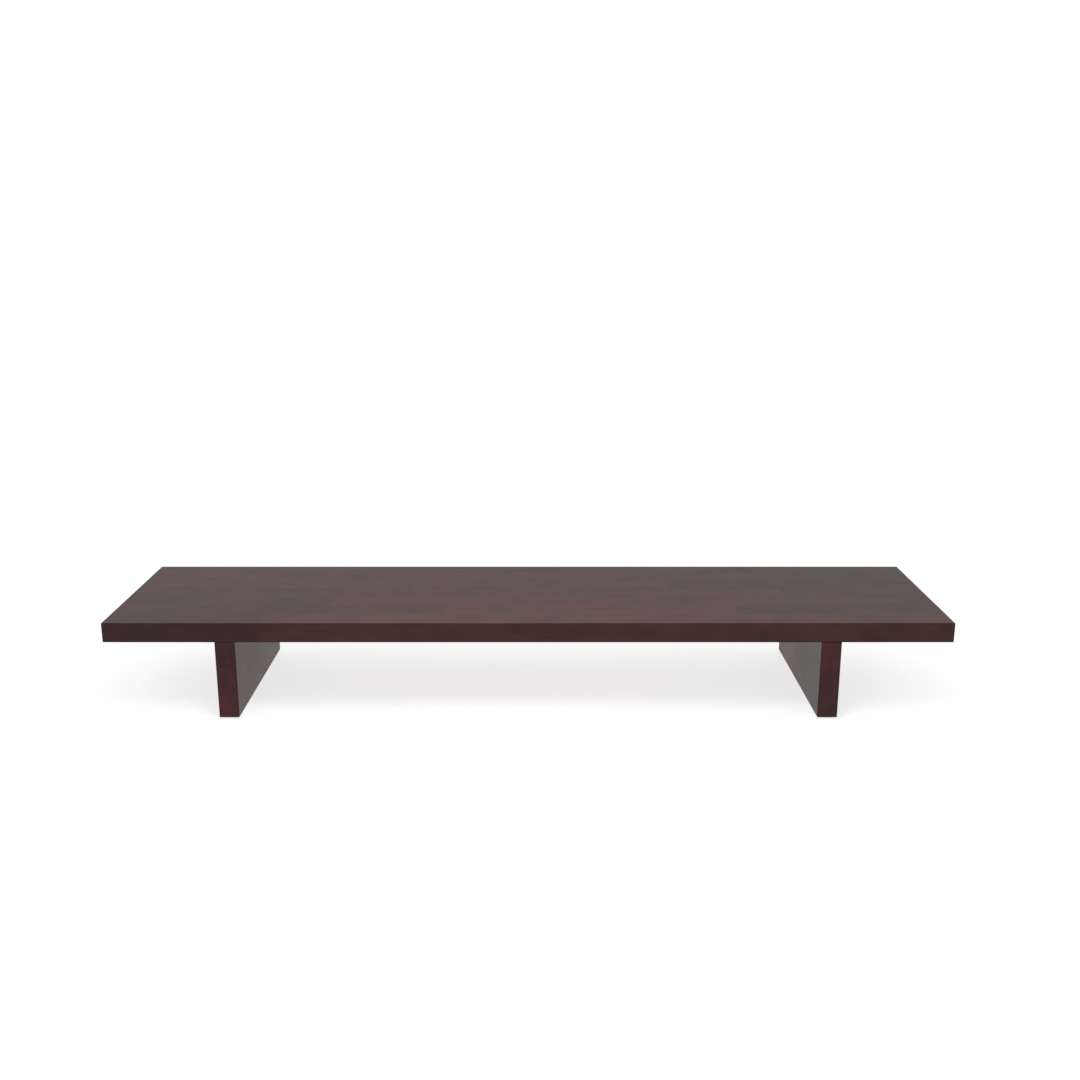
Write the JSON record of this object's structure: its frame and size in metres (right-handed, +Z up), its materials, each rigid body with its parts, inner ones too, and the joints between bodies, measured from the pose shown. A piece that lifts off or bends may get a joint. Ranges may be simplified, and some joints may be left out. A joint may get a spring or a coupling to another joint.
{
  "type": "monitor riser stand",
  "caption": "Long, low wooden desk stand: a wide top board on panel legs set in from its ends, which lifts monitors and leaves an open bay below.",
  "frame": {"origin": "on the surface that the feet stand on, under the middle of the top board", "axes": "+X along the length to the right seen from the front, +Y to the rear, +Z up"},
  "size_m": [1.0668, 0.254, 0.129],
  "materials": {
    "stained_wood": "satin lacquer over mahogany stain on edge-glued hardwood",
    "dowel_wood": "bare fluted beech",
    "bolt_steel": "bright zinc plate",
    "washer_steel": "bright zinc plate",
    "insert_brass": "turned brass",
    "foot_rubber": "matt moulded rubber"
  },
  "bodies": {
    "root": {"top_board": "stained_wood", "left_leg": "stained_wood", "right_leg": "stained_wood", "left_front_dowel": "dowel_wood", "left_front_insert": "insert_brass", "left_front_bolt": "bolt_steel", "left_front_washer": "washer_steel", "left_front_foot": "foot_rubber", "left_rear_dowel": "dowel_wood", "left_rear_insert": "insert_brass", "left_rear_bolt": "bolt_steel", "left_rear_washer": "washer_steel", "left_rear_foot": "foot_rubber", "right_front_dowel": "dowel_wood", "right_front_insert": "insert_brass", "right_front_bolt": "bolt_steel", "right_front_washer": "washer_steel", "right_front_foot": "foot_rubber", "right_rear_dowel": "dowel_wood", "right_rear_insert": "insert_brass", "right_rear_bolt": "bolt_steel", "right_rear_washer": "washer_steel", "right_rear_foot": "foot_rubber"}
  },
  "joints": []
}
